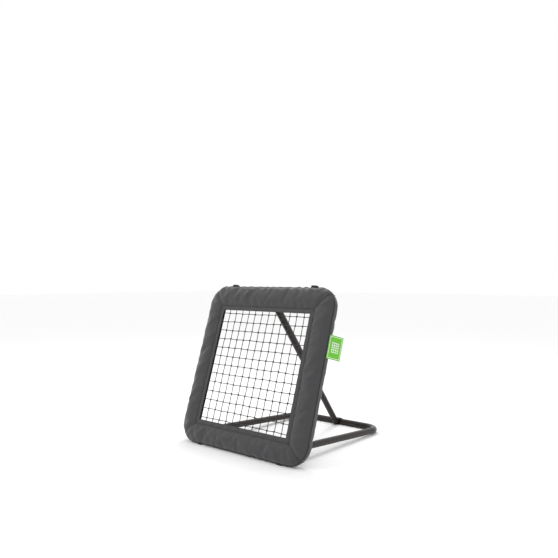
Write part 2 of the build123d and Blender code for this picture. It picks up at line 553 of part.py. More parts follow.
# ------------------------------------------------------------------------- build
def build_net_frame():
    lower, upper, spigots, screws = frame_tubes()
    foot_low, foot_high, foot_bolts = feet()
    for hole in foot_holes():
        lower, upper = lower - hole, upper - hole
    save("lower_frame_tube", FRAME * lower)
    save("upper_frame_tube", FRAME * upper)
    save("frame_spigots", *[FRAME * s for s in spigots])
    save("frame_screws", *[FRAME * s for s in screws])
    save("lower_feet", *[FRAME * s for s in foot_low])
    save("upper_bumpers", *[FRAME * s for s in foot_high])
    save("foot_bolts", *[FRAME * s for s in foot_bolts])
    shell, foam = cover_and_foam()
    for side in ("top", "bottom", "left", "right"):
        wedge = quarter(side)
        save("cover_" + side, FRAME * (shell & wedge).solids()[0])
        save("foam_" + side, FRAME * (foam & wedge).solids()[0])
    net, webbing, elastics, eyelets = net_pieces()
    save("net", FRAME * net)
    save("net_border", *[FRAME * s for s in webbing])
    save("net_elastics", *[FRAME * s for s in elastics])
    save("net_eyelets", *[FRAME * s for s in eyelets])
    save("side_label", FRAME * side_label())


def build_pivots():
    low, head = brackets()
    left, right = (bracket(c, x, BASE_PIVOT_V, TUBE_LOW) for c, x in zip(low, (-LEG_X, LEG_X)))
    save("hinge_bracket_left", FRAME * left)
    save("hinge_bracket_right", FRAME * right)
    save("strut_head_bracket", FRAME * bracket(head, 0, HEAD_PIVOT_V, TUBE_HIGH))
    sets = [pivot_bolt(x, v) for x, v in ((-LEG_X, BASE_PIVOT_V), (LEG_X, BASE_PIVOT_V), (0, HEAD_PIVOT_V))]
    save("base_hinge_bolts", FRAME * sets[0][0], FRAME * sets[1][0])
    save("strut_head_bolt", FRAME * sets[2][0])
    save("lock_nuts", *[FRAME * s[1] for s in sets])
    save("pivot_washers", *[FRAME * w for s in sets for w in s[2]])


def build_base():
    legs, bar, spigots, screws, bushes, ends = base_pieces()
    catch, catch_screws = foot_catch()
    for x in (-CATCH_SCREW_X, CATCH_SCREW_X):
        bar -= rod(SCREW / 2 + SCREW_CLEARANCE, R + 4, "Y", (x, LEG_LENGTH + R / 2 + 2, 0))
    at_bar = BASE * Pos(0, LEG_LENGTH, 0)
    save("left_leg", BASE * legs[0])
    save("right_leg", BASE * legs[1])
    save("rear_bar", BASE * bar)
    save("base_spigots", *[BASE * s for s in spigots])
    save("base_screws", *[BASE * s for s in screws])
    save("leg_bushes", *[BASE * s for s in bushes])
    save("leg_ends", *[BASE * s for s in ends])
    save("foot_catch", at_bar * catch)
    save("catch_screws", *[at_bar * s for s in catch_screws])


def build_strut():
    tube, eye, sleeve, rivet, collar = strut_outer_pieces()
    save("strut_outer_tube", STRUT * tube)
    save("strut_head", STRUT * eye)
    save("strut_head_bush", STRUT * sleeve)
    save("strut_head_rivet", STRUT * rivet)
    save("clamp_collar", STRUT * collar)
    knob, stud = clamp_knob()
    save("clamp_knob", STRUT * knob)
    save("clamp_stud", STRUT * stud)
    inner, glide, foot, foot_rivet = strut_inner_pieces()
    save("strut_inner_tube", STRUT * inner)
    save("strut_glide", STRUT * glide)
    save("strut_foot", STRUT * foot)
    save("strut_foot_rivet", STRUT * foot_rivet)


def main():
    os.makedirs("parts", exist_ok=True)
    build_net_frame()
    build_pivots()
    build_base()
    build_strut()
    print("base pivot", round(BASE_Y, 3), round(BASE_Z, 3), "strut pivot", round(HEAD_Y, 3), round(HEAD_Z, 3))
    print("rear bar", round(BAR_Y, 3), "slope", round(SLOPE, 3), "strut angle", round(STRUT_ANGLE, 3))
    print("fold", round(FOLD, 3), "swing", round(SWING, 3), "travel", SLIDE_TRAVEL)
    print("knob", STRUT * Pos(0, 0, -(OUTER_END - COLLAR_LENGTH / 2 + COLLAR_WALL)))


main()
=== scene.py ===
import json
import math
import random

import bmesh
import bpy
from bpy.props import FloatProperty, FloatVectorProperty, IntProperty, PointerProperty, StringProperty
from mathutils import Matrix, Vector, noise


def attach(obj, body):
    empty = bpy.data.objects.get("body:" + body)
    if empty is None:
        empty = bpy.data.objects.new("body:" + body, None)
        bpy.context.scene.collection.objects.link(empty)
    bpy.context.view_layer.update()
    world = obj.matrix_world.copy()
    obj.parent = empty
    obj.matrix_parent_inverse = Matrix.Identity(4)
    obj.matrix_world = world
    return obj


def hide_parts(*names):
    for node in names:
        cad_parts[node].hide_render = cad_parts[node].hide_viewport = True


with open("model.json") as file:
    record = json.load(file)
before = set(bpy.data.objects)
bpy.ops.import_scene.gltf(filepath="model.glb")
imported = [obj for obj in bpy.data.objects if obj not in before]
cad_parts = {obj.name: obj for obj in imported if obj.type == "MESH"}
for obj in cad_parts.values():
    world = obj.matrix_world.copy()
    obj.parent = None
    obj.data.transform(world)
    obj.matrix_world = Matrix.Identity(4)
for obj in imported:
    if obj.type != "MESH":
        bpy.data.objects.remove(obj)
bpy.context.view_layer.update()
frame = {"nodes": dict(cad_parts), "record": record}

bl_info = {
    "name": "Pitch back rebounder",
    "version": (1, 0, 0),
    "blender": (4, 5, 0),
    "location": "View3D > Sidebar > Rebounder",
    "description": "Builds the covers, net, label and finishes of a folding pitch back rebounder",
    "category": "Object",
}

MM = 0.001
RECORD = frame["record"]
JOINTS = {j["name"]: j for j in RECORD["behaviour"]["joints"]}
BASE_PIVOT = Vector(JOINTS["base_fold"]["pos_m"])
HEAD_PIVOT = Vector(JOINTS["strut_swing"]["pos_m"])

# Both pivots lie at one depth behind the padded face, so their line is the frame's lean.
TILT = math.atan2(HEAD_PIVOT.y - BASE_PIVOT.y, HEAD_PIVOT.z - BASE_PIVOT.z)
LEAN = Matrix.Rotation(-TILT, 4, "X")
UPRIGHT = LEAN.inverted()


def upright_box(node):
    """Lowest and highest corner of a CAD node on the frame stood upright: x, depth, height."""
    points = [UPRIGHT @ v.co for v in frame["nodes"][node].data.vertices]
    low = Vector(min(p[i] for p in points) for i in range(3))
    high = Vector(max(p[i] for p in points) for i in range(3))
    return low, high


COVER_LEFT = upright_box("cover_left")
COVER_LOW = upright_box("cover_bottom")
COVER_TOP = upright_box("cover_top")
NET_BOX = upright_box("net")
BORDER_BOX = upright_box("net_border")
LABEL_BOX = upright_box("side_label")
TUBE_BOX = upright_box("lower_frame_tube")
PAD_HALF = -COVER_LEFT[0].x
PAD_DEPTH = COVER_LOW[1].y
PAD_MID = (COVER_LOW[0].z + COVER_TOP[1].z) / 2
OPEN_HALF = -COVER_LEFT[1].x
OPEN_DROP = PAD_MID - (COVER_LOW[1].z + OPEN_HALF)
OPEN_MID = PAD_MID - OPEN_DROP
NET_DEPTH = (NET_BOX[0].y + NET_BOX[1].y) / 2
PAD_CORNER = 100 * MM
FLAP = 78 * MM
BACK_ROUND = 26 * MM
PIPING_DEPTH = 19 * MM
HEM_SEAM = 101 * MM
BRACKET_BOX = upright_box("hinge_bracket_right")
LEG_X = (BRACKET_BOX[0].x + BRACKET_BOX[1].x) / 2
NOTCH_HALF = 25 * MM
HALF_CORNER = math.radians(45)
SIDES = ("top", "right", "bottom", "left")


# ------------------------------------------------------------------ sizes and colours
class RebounderCover(bpy.types.PropertyGroup):
    colour: StringProperty(name="Fabric colour", description="sRGB hex of the coated polyester",
                           default="#323234")
    seam_colour: StringProperty(name="Seam colour", description="sRGB hex of the piping and thread",
                                default="#121314")
    swell: FloatProperty(name="Swell", description="How far the foam lifts the face between its seams",
                         default=9 * MM, unit="LENGTH")
    pucker: FloatProperty(name="Pucker", description="Height of the gathers along the outer seam",
                          default=2.4 * MM, unit="LENGTH")
    thickness: FloatProperty(name="Fabric thickness", description="Coated fabric with its lining",
                             default=1.4 * MM, unit="LENGTH")
    grid: FloatProperty(name="Grid", description="Spacing of the cloth mesh", default=8 * MM,
                        unit="LENGTH")
    thread: FloatProperty(name="Thread spacing", description="Spacing of the drawn weave",
                          default=1.5 * MM, unit="LENGTH")


class RebounderNet(bpy.types.PropertyGroup):
    colour: StringProperty(name="Cord colour", description="sRGB hex of the net cord", default="#0E0E0F")
    columns: IntProperty(name="Columns", description="Upright cords", default=12, min=2)
    rows: IntProperty(name="Rows", description="Level cords", default=13, min=2)
    pitch: FloatProperty(name="Mesh", description="Knot to knot", default=46.5 * MM, unit="LENGTH")
    cord: FloatProperty(name="Cord diameter", description="Braided net cord", default=3.8 * MM,
                        unit="LENGTH")
    slack: FloatProperty(name="Slack", description="How far knots stray from a true grid",
                         default=1.3 * MM, unit="LENGTH")


class RebounderLabel(bpy.types.PropertyGroup):
    colour: StringProperty(name="Label colour", description="sRGB hex of the woven label",
                           default="#62B81F")
    print_colour: StringProperty(name="Motif colour", description="sRGB hex of the border and motif",
                                 default="#F3F6EC")
    width: FloatProperty(name="Width", description="From the seam to the free end", default=76 * MM,
                         unit="LENGTH")
    height: FloatProperty(name="Height", description="Along the seam", default=112 * MM, unit="LENGTH")


class RebounderStage(bpy.types.PropertyGroup):
    camera: FloatVectorProperty(name="Camera", description="Place of the lens", subtype="TRANSLATION",
                                unit="LENGTH", size=3, default=(2.128, -2.099, 0.851))
    azimuth: FloatProperty(name="Azimuth", description="Turn of the level camera", subtype="ANGLE",
                           default=math.radians(41.19))
    lens: FloatProperty(name="Lens", description="Focal length in millimetres", default=39.8)
    floor: StringProperty(name="Floor colour", description="sRGB hex of floor and backdrop",
                          default="#FBFBFB")


# ------------------------------------------------------------------------ mesh helpers
def new_object(name, mesh, body):
    """A piece in the row frame that rides a body."""
    for polygon in mesh.polygons:
        polygon.use_smooth = True
    piece = bpy.data.objects.new(name, mesh)
    bpy.context.scene.collection.objects.link(piece)
    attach(piece, body)
    return piece


def finished_mesh(bm, name, matrix=None):
    """Turns a bmesh into a mesh with outward normals, leaned with the frame if asked."""
    if matrix is not None:
        bmesh.ops.transform(bm, matrix=matrix, verts=bm.verts)
    bmesh.ops.recalc_face_normals(bm, faces=bm.faces)
    mesh = bpy.data.meshes.new(name)
    bm.to_mesh(mesh)
    bm.free()
    return mesh


def smooth_path(points, steps, closed=False):
    """Catmull-Rom points through the given ones."""
    count = len(points)
    spans = count if closed else count - 1
    line = []
    for i in range(spans):
        if closed:
            a, b, c, d = (points[(i + k) % count] for k in (-1, 0, 1, 2))
        else:
            a, b, c, d = (points[min(max(i + k, 0), count - 1)] for k in (-1, 0, 1, 2))
        for k in range(steps):
            t = k / steps
            line.append(0.5 * ((2 * b) + (c - a) * t + (2 * a - 5 * b + 4 * c - d) * t * t
                               + (3 * b - a - 3 * c + d) * t ** 3))
    if not closed:
        line.append(points[-1].copy())
    return line


def sweep(bm, line, radius, sides=8, closed=False):
    """Adds a tube along a line to bm."""
    count = len(line)
    normal = None
    rings = []
    for i, point in enumerate(line):
        after = line[(i + 1) % count] if closed else line[min(i + 1, count - 1)]
        before = line[i - 1] if closed else line[max(i - 1, 0)]
        along = (after - before).normalized()
        if normal is None:
            normal = along.orthogonal().normalized()
        normal = (normal - along * normal.dot(along)).normalized()
        other = along.cross(normal)
        ring = []
        for k in range(sides):
            turn = 2 * math.pi * k / sides
            offset = normal * math.cos(turn) * radius + other * math.sin(turn) * radius
            ring.append(bm.verts.new(point + offset))
        rings.append(ring)
    last = count if closed else count - 1
    for i in range(last):
        a, b = rings[i], rings[(i + 1) % count]
        for k in range(sides):
            m = (k + 1) % sides
            bm.faces.new((a[k], a[m], b[m], b[k]))
    if not closed:
        bm.faces.new(rings[0][::-1])
        bm.faces.new(rings[-1])


def cloth_settled(piece, pins, pressure, growth, frames, limit):
    """Runs Blender's cloth on a piece with some points pinned, and keeps the capped result."""
    group = piece.vertex_groups.new(name="pins")
    for index, weight in enumerate(pins):
        group.add([index], weight, "REPLACE")
    start = [v.co.copy() for v in piece.data.vertices]
    modifier = piece.modifiers.new("Cloth", "CLOTH")
    settings = modifier.settings
    settings.vertex_group_mass = "pins"
    settings.use_pressure = True
    settings.uniform_pressure_force = pressure
    settings.shrink_min = growth
    settings.quality = 6
    settings.tension_stiffness = 20
    settings.compression_stiffness = 20
    settings.bending_stiffness = 0.6
    settings.effector_weights.gravity = 0
    modifier.collision_settings.use_collision = False
    scene = bpy.context.scene
    scene.frame_end = frames
    modifier.point_cache.frame_end = frames
    for number in range(1, frames + 1):
        scene.frame_set(number)
    settled = piece.evaluated_get(bpy.context.evaluated_depsgraph_get()).data
    moved = [v.co.copy() for v in settled.vertices]
    piece.modifiers.remove(modifier)
    piece.vertex_groups.remove(group)
    scene.frame_set(1)
    for vertex, before, after in zip(piece.data.vertices, start, moved):
        step = after - before
        if step.length > limit:
            step *= limit / step.length
        vertex.co = before + step


def apply_modifiers(piece):
    """Replaces a piece's mesh by what its modifiers make."""
    graph = bpy.context.evaluated_depsgraph_get()
    mesh = bpy.data.meshes.new_from_object(piece.evaluated_get(graph))
    piece.modifiers.clear()
    piece.data = mesh
    for polygon in mesh.polygons:
        polygon.use_smooth = True


# ---------------------------------------------------------------------- material helpers
def linear(hex_colour):
    """sRGB hex to the linear colour that a shader takes."""
    values = [int(hex_colour[i:i + 2], 16) / 255 for i in (1, 3, 5)]
    return [v / 12.92 if v <= 0.04045 else ((v + 0.055) / 1.055) ** 2.4 for v in values] + [1.0]


def add_node(tree, kind, links=None, **settings):
    """Adds a node: settings are its properties, links its inputs, as values or sockets."""
    node = tree.nodes.new(kind)
    for key, value in settings.items():
        setattr(node, key, value)
    for key, value in (links or {}).items():
        if isinstance(value, bpy.types.NodeSocket):
            tree.links.new(value, node.inputs[key])
        else:
            node.inputs[key].default_value = value
    return node


def new_material(name, colour, roughness, **sockets):
    """A principled material; sockets are set straight on the shader."""
    material = bpy.data.materials.new(name)
    material.use_nodes = True
    tree = material.node_tree
    shader = tree.nodes["Principled BSDF"]
    shader.inputs["Base Color"].default_value = linear(colour)
    shader.inputs["Roughness"].default_value = roughness
    for key, value in sockets.items():
        shader.inputs[key.replace("_", " ")].default_value = value
    material.diffuse_color = linear(colour)
    return material, tree, shader


def mottled(tree, shader, colour, place, size, low=0.85, high=1.15, roughness=None):
    """Varies a colour, and the roughness if given, over patches of a size in metres."""
    patches = add_node(tree, "ShaderNodeTexNoise", {"Vector": place, "Scale": 1 / size, "Detail": 4.0})
    tone = add_node(tree, "ShaderNodeMapRange", {"Value": patches.outputs["Fac"], "From Min": 0.3,
                                                 "From Max": 0.7, "To Min": low, "To Max": high})
    base = add_node(tree, "ShaderNodeMix", {0: 1.0, 6: linear(colour), 7: tone.outputs["Result"]},
                    data_type="RGBA", blend_type="MULTIPLY")
    tree.links.new(base.outputs[2], shader.inputs["Base Color"])
    if roughness:
        rough = add_node(tree, "ShaderNodeMapRange", {"Value": patches.outputs["Fac"], "From Min": 0.3,
                                                      "From Max": 0.7, "To Min": roughness[0],
                                                      "To Max": roughness[1]})
        tree.links.new(rough.outputs["Result"], shader.inputs["Roughness"])
    return patches


def weave_height(tree, place, thread):
    """Plain weave: two sets of threads that pass over and under each other."""
    split = add_node(tree, "ShaderNodeSeparateXYZ", {"Vector": place})
    waves = []
    for axis in ("X", "Y"):
        scaled = add_node(tree, "ShaderNodeMath", {0: split.outputs[axis], 1: math.pi / thread},
                          operation="MULTIPLY")
        wave = add_node(tree, "ShaderNodeMath", {0: scaled.outputs[0]}, operation="SINE")
        waves.append(wave.outputs[0])
    product = add_node(tree, "ShaderNodeMath", {0: waves[0], 1: waves[1]}, operation="MULTIPLY")
    return product.outputs[0]


# -------------------------------------------------------------------------- materials
def coated_polyester(cover):
    """Oxford-woven polyester with a soft PVC coat: dark, satin, with a faint basket weave.

    The real threads are about 0.5 mm apart; the weave is drawn coarser so that it shows.
    """
    name = "Coated oxford polyester"
    if name in bpy.data.materials:
        return bpy.data.materials[name]
    material, tree, shader = new_material(name, cover.colour, 0.52, Sheen_Weight=0.25,
                                          Sheen_Roughness=0.45, Specular_IOR_Level=0.45)
    uv = add_node(tree, "ShaderNodeUVMap", uv_map="Cloth")
    place = add_node(tree, "ShaderNodeTexCoord")
    mottled(tree, shader, cover.colour, place.outputs["Object"], 60 * MM, 0.86, 1.14, (0.44, 0.62))
    crease = add_node(tree, "ShaderNodeTexNoise", {"Vector": place.outputs["Object"],
                                                   "Scale": 1 / (22 * MM), "Detail": 5.0,
                                                   "Roughness": 0.62, "Distortion": 0.6})
    soft = add_node(tree, "ShaderNodeBump", {"Height": crease.outputs["Fac"], "Distance": 1.6 * MM,
                                             "Strength": 0.55})
    weave = weave_height(tree, uv.outputs["UV"], cover.thread)
    bump = add_node(tree, "ShaderNodeBump", {"Height": weave, "Distance": 0.12 * MM, "Strength": 0.8,
                                             "Normal": soft.outputs["Normal"]})
    tree.links.new(bump.outputs["Normal"], shader.inputs["Normal"])
    return material


def seam_thread(cover):
    """Bonded nylon thread and piping: darker than the fabric and a little shinier."""
    name = "Black nylon piping"
    if name in bpy.data.materials:
        return bpy.data.materials[name]
    material, tree, shader = new_material(name, cover.seam_colour, 0.5, Sheen_Weight=0.1)
    place = add_node(tree, "ShaderNodeTexCoord")
    grain = mottled(tree, shader, cover.seam_colour, place.outputs["Object"], 3 * MM, 0.75, 1.25)
    bump = add_node(tree, "ShaderNodeBump", {"Height": grain.outputs["Fac"], "Distance": 0.3 * MM,
                                             "Strength": 0.7})
    tree.links.new(bump.outputs["Normal"], shader.inputs["Normal"])
    return material


def braided_cord(net):
    """Braided polyethylene net cord: dull black, with the braid's small diamonds."""
    material, tree, shader = new_material("Braided net cord", net.colour, 0.62, Sheen_Weight=0.15)
    place = add_node(tree, "ShaderNodeTexCoord")
    mottled(tree, shader, net.colour, place.outputs["Object"], 4 * MM, 0.7, 1.35)
    wave = add_node(tree, "ShaderNodeTexWave", {"Vector": place.outputs["Object"], "Scale": 1 / (8 * MM),
                                                "Distortion": 1.2, "Detail": 2.0},
                    wave_type="BANDS", bands_direction="DIAGONAL")
    bump = add_node(tree, "ShaderNodeBump", {"Height": wave.outputs["Fac"], "Distance": 0.35 * MM,
                                             "Strength": 0.8})
    tree.links.new(bump.outputs["Normal"], shader.inputs["Normal"])
    return material


def ribbed_webbing(net):
    """Woven polypropylene webbing: ribs across its width every two millimetres."""
    material, tree, shader = new_material("Woven webbing", net.colour, 0.66, Sheen_Weight=0.2)
    uv = add_node(tree, "ShaderNodeUVMap", uv_map="Cloth")
    place = add_node(tree, "ShaderNodeTexCoord")
    mottled(tree, shader, net.colour, place.outputs["Object"], 20 * MM, 0.8, 1.3)
    weave = weave_height(tree, uv.outputs["UV"], 2 * MM)
    bump = add_node(tree, "ShaderNodeBump", {"Height": weave, "Distance": 0.3 * MM, "Strength": 0.9})
    tree.links.new(bump.outputs["Normal"], shader.inputs["Normal"])
    return material


def powder_coat():
    """Gloss black-brown polyester powder coat on steel: a fine orange peel and patches of slightly
    varied tone and gloss.
    """
    material, tree, shader = new_material("Powder-coated steel", "#1D1511", 0.32, Coat_Weight=0.12,
                                          Coat_Roughness=0.16, Specular_IOR_Level=0.32)
    place = add_node(tree, "ShaderNodeTexCoord")
    mottled(tree, shader, "#1D1511", place.outputs["Object"], 45 * MM, 0.85, 1.2, (0.24, 0.36))
    peel = add_node(tree, "ShaderNodeTexNoise", {"Vector": place.outputs["Object"],
                                                 "Scale": 1 / (2.4 * MM), "Detail": 2.0})
    bump = add_node(tree, "ShaderNodeBump", {"Height": peel.outputs["Fac"], "Distance": 0.12 * MM,
                                             "Strength": 0.5})
    tree.links.new(bump.outputs["Normal"], shader.inputs["Normal"])
    return material


def black_zinc():
    """Black passivated zinc on turned steel: dark grey metal with a faint lathe grain."""
    material, tree, shader = new_material("Black zinc-plated steel", "#2B2C2E", 0.4, Metallic=0.85)
    place = add_node(tree, "ShaderNodeTexCoord")
    grain = mottled(tree, shader, "#2B2C2E", place.outputs["Object"], 2 * MM, 0.8, 1.25, (0.28, 0.45))
    bump = add_node(tree, "ShaderNodeBump", {"Height": grain.outputs["Fac"], "Distance": 0.06 * MM,
                                             "Strength": 0.5})
    tree.links.new(bump.outputs["Normal"], shader.inputs["Normal"])
    return material


def moulded_nylon():
    """Injection-moulded glass-filled nylon: spark-eroded matt texture."""
    material, tree, shader = new_material("Moulded black nylon", "#1A1A1B", 0.46)
    place = add_node(tree, "ShaderNodeTexCoord")
    mottled(tree, shader, "#1A1A1B", place.outputs["Object"], 12 * MM, 0.85, 1.2)
    spark = add_node(tree, "ShaderNodeTexNoise", {"Vector": place.outputs["Object"],
                                                  "Scale": 1 / (0.9 * MM), "Detail": 3.0})
    bump = add_node(tree, "ShaderNodeBump", {"Height": spark.outputs["Fac"], "Distance": 0.12 * MM,
                                             "Strength": 0.7})
    tree.links.new(bump.outputs["Normal"], shader.inputs["Normal"])
    return material


def moulded_rubber():
    """Compression-moulded rubber: soft, dull black with a dusty bloom."""
    material, tree, shader = new_material("Moulded rubber", "#121213", 0.78)
    place = add_node(tree, "ShaderNodeTexCoord")
    bloom = mottled(tree, shader, "#121213", place.outputs["Object"], 6 * MM, 0.8, 1.5, (0.68, 0.88))
    bump = add_node(tree, "ShaderNodeBump", {"Height": bloom.outputs["Fac"], "Distance": 0.2 * MM,
                                             "Strength": 0.6})
    tree.links.new(bump.outputs["Normal"], shader.inputs["Normal"])
    return material


def woven_label(name, colour):
    """Damask-woven polyester label: fine weft ribs and a slight satin sheen."""
    material, tree, shader = new_material(name, colour, 0.5, Sheen_Weight=0.2)
    uv = add_node(tree, "ShaderNodeUVMap", uv_map="Cloth")
    place = add_node(tree, "ShaderNodeTexCoord")
    mottled(tree, shader, colour, place.outputs["Object"], 10 * MM, 0.94, 1.05)
    weave = weave_height(tree, uv.outputs["UV"], 0.8 * MM)
    bump = add_node(tree, "ShaderNodeBump", {"Height": weave, "Distance": 0.08 * MM, "Strength": 0.7})
    tree.links.new(bump.outputs["Normal"], shader.inputs["Normal"])
    return material


def studio_floor(colour):
    """Seamless matt paper sweep: even and pale."""
    return new_material("Matt paper sweep", colour, 0.9, Specular_IOR_Level=0.1)[0]


# ------------------------------------------------------------------------- padded cover
def face_depth(inset, cover, swell=1.0):
    """Depth of the front panel: round the outer edge, then crowned between its two seams."""
    t = min(max(inset / HEM_SEAM, 0), 1)
    edge = (PIPING_DEPTH - 3.6 * MM) * math.exp(-inset / (7.5 * MM))
    crown = swell * cover.swell * math.sin(math.pi * min(t * 0.96 + 0.02, 1)) ** 0.7
    return 3.6 * MM + edge - crown


def cover_section(cover):
    """The cover's section from the flap's inner edge, round the back and side, to the hem.

    Each point is (inset from the pad's outer edge, depth behind the face, name of its zone).
    """
    points = []
    back = PAD_DEPTH - cover.thickness / 2
    for i in range(8):
        points.append((FLAP + (BACK_ROUND - FLAP) * i / 7, back, "flap"))
    for i in range(1, 7):
        turn = math.pi / 2 * i / 6
        inset = BACK_ROUND * (1 - math.sin(turn))
        points.append((inset, back - BACK_ROUND * (1 - math.cos(turn)), "wall"))
    for depth in (30, 25):
        points.append((0.2 * MM, depth * MM, "wall"))
    points.append((0.6 * MM, PIPING_DEPTH + 1 * MM, "edge"))
    points.append((1.2 * MM, PIPING_DEPTH - 1 * MM, "edge"))
    for inset in (3, 6, 10, 15, 21, 28, 36, 44, 52, 60, 68, 76, 84, 91, 96.5):
        points.append((inset * MM, face_depth(inset * MM, cover), "face"))
    points.append((HEM_SEAM, 3.8 * MM, "seam"))
    last = PAD_HALF - OPEN_HALF
    for i in range(1, 4):
        points.append((HEM_SEAM + (last - HEM_SEAM) * i / 3, 2.6 * MM, "hem"))
    points.append((last - 0.5 * MM, 4.6 * MM, "hem"))
    points.append((last - 8 * MM, 5.4 * MM, "hem"))
    return points


def panel_columns(cover):
    """Places along one side: an arc of 45 degrees, the straight run, and the other arc."""
    arc = 7
    straight = 2 * (PAD_HALF - PAD_CORNER)
    places = [side * LEG_X + edge for side in (-1, 0, 1) for edge in (-NOTCH_HALF, NOTCH_HALF)]
    marks = [-1.0, *(place * 2 / straight for place in places), 1.0]
    runs = []
    for low, high in zip(marks, marks[1:]):
        steps = max(1, round((high - low) * straight / 2 / cover.grid))
        runs += [low + (high - low) * i / steps for i in range(steps)]
    runs.append(1.0)
    left = [("arc", -1, HALF_CORNER * (1 - i / arc)) for i in range(arc)]
    right = [("arc", 1, HALF_CORNER * (i + 1) / arc) for i in range(arc)]
    return left + [("run", 0, r) for r in runs] + right


def side_place(side, along, out, drop):
    """x and height of a point along one side of the pad and out from its middle."""
    if side == "top":
        x, height = along, out
    elif side == "right":
        x, height = out, -along
    elif side == "bottom":
        x, height = -along, -out
    else:
        x, height = -out, along
    return x, PAD_MID + height - drop


def panel_point(side, column, inset, depth):
    """Upright position and the run along the side for a column and an inset."""
    kind, sign, value = column
    corner = max(PAD_CORNER - inset, 2 * MM)
    straight = PAD_HALF - inset - corner
    if kind == "run":
        along, out = value * straight, PAD_HALF - inset
    else:
        along = sign * (straight + corner * math.sin(value))
        out = PAD_HALF - inset - corner * (1 - math.cos(value))
    ease = min(max((inset - 60 * MM) / (45 * MM), 0), 1)
    x, height = side_place(side, along, out, OPEN_DROP * ease * ease * (3 - 2 * ease))
    return Vector((x, depth, height)), along


# Drag folds in the fabric: side, place along it, inset, half length, width, slant, height.
DRAG_FOLDS = [
    ("top", -280, 48, 50, 9, -44, 4.0), ("top", -232, 52, 46, 8, -46, -3.0),
    ("top", -140, 45, 44, 10, -52, 3.6), ("top", -105, 52, 36, 8, -56, -2.2),
    ("top", -10, 55, 38, 14, -66, 1.8), ("top", 105, 50, 40, 13, -78, 1.5),
    ("top", 250, 50, 44, 12, 52, 2.4), ("right", -255, 66, 36, 9, 38, 3.0),
    ("right", -215, 52, 34, 10, 128, 2.2), ("right", -70, 55, 64, 13, 24, 2.2),
    ("right", 60, 50, 58, 12, 158, 1.8), ("right", 205, 55, 46, 10, 40, 2.4),
    ("bottom", 262, 58, 50, 9, 132, 3.4), ("bottom", 215, 52, 42, 9, 128, -2.2),
    ("bottom", 90, 50, 60, 14, 160, 1.8), ("bottom", -60, 52, 64, 14, 22, 1.8),
    ("bottom", -236, 56, 46, 11, 48, 2.6), ("left", 215, 56, 44, 10, 42, 3.0),
    ("left", 110, 50, 50, 11, 38, 2.6), ("left", 60, 58, 40, 9, 44, -2.0),
    ("left", -40, 52, 54, 12, 32, 2.4), ("left", -160, 54, 46, 11, 44, 2.6),
    ("left", -250, 50, 40, 10, 136, 2.4),
]


def fold_height(side, along, inset):
    """Lift of the fabric from that side's drag folds: steep on one flank, easy on the other."""
    lift = 0.0
    for name, place, depth, length, width, slant, height in DRAG_FOLDS:
        if name != side:
            continue
        turn = math.radians(slant)
        a, b = along / MM - place, inset / MM - depth
        u = a * math.cos(turn) + b * math.sin(turn)
        v = b * math.cos(turn) - a * math.sin(turn)
        flank = width if v > 0 else 2.1 * width
        lift += height * MM * math.exp(-(u / length) ** 2 - (v / flank) ** 2)
    return lift


def gather(side, along):
    """Puckers of the outer seam: bumps of uneven size about 50 mm apart."""
    seed = SIDES.index(side) * 7.3
    wave = math.sin(along / (52 * MM) * 2 * math.pi + 2.6 * noise.noise(Vector((along * 8, seed, 0.0))))
    slack = 1.0 if side == "top" else 0.45
    return slack * wave * (0.7 + 1.1 * noise.noise(Vector((along * 7, seed, 4.0))))


def wrinkled(side, position, along, inset, depth, zone, cover, reach):
    """Moves a point of the cover by its swell, gathers and folds."""
    seed = SIDES.index(side) * 7.3
    broad = noise.noise(Vector((along * 11, inset * 18, seed))) * 2.0 * MM
    broad += noise.noise(Vector((along * 30, inset * 34, seed + 3))) * 0.7 * MM
    pull = gather(side, along)
    mitre = min(1.0, max(0.0, (reach - abs(along)) / (24 * MM)))
    mitre = mitre * mitre * (3 - 2 * mitre)
    outward = Vector((0, 0, position.z - PAD_MID))
    if side in ("left", "right"):
        outward = Vector((position.x, 0, 0))
    outward.normalize()
    if zone == "face":
        fade = math.exp(-inset / (20 * MM)) + 0.45 * math.exp(-(HEM_SEAM - inset) / (15 * MM))
        held = face_depth(inset, cover, 0.25)
        keep = min(1.0, inset / (14 * MM)) * min(1.0, (HEM_SEAM - inset) / (12 * MM))
        position.y = held + (depth - held) * mitre
        folds = fold_height(side, along, inset)
        position.y -= (broad * keep + cover.pucker * pull * fade + folds * keep) * mitre
        position += outward * cover.pucker * 0.8 * pull * math.exp(-inset / (12 * MM)) * mitre
    elif zone == "edge":
        position += outward * cover.pucker * 0.8 * pull * mitre
    elif zone == "wall":
        near = math.exp(-(depth - PIPING_DEPTH) / (16 * MM))
        position += outward * (cover.pucker * (0.8 * near + 0.35) * pull + 0.5 * broad) * mitre
    elif zone == "flap":
        position.y -= (abs(pull) * 1.4 * MM * (inset / FLAP) + max(0.0, broad) * 0.4) * mitre
    elif zone == "hem":
        position.y += 0.9 * MM * math.sin(along / (61 * MM) * 2 * math.pi + seed)
    return position


def cover_point(side, column, inset, depth, zone, cover):
    """Upright place of a point of the cover, and its run along the side."""
    position, along = panel_point(side, column, inset, depth)
    end = ("arc", 1, HALF_CORNER)
    reach = abs(panel_point(side, end, inset, depth)[1])
    return wrinkled(side, position, along, inset, depth, zone, cover, reach), along


def in_notch(side, along, inset):
    """True where the back flap is cut away round a bracket."""
    if inset < 36 * MM:
        return False
    if side == "bottom":
        return abs(abs(along) - LEG_X) < NOTCH_HALF
    return side == "top" and abs(along) < NOTCH_HALF


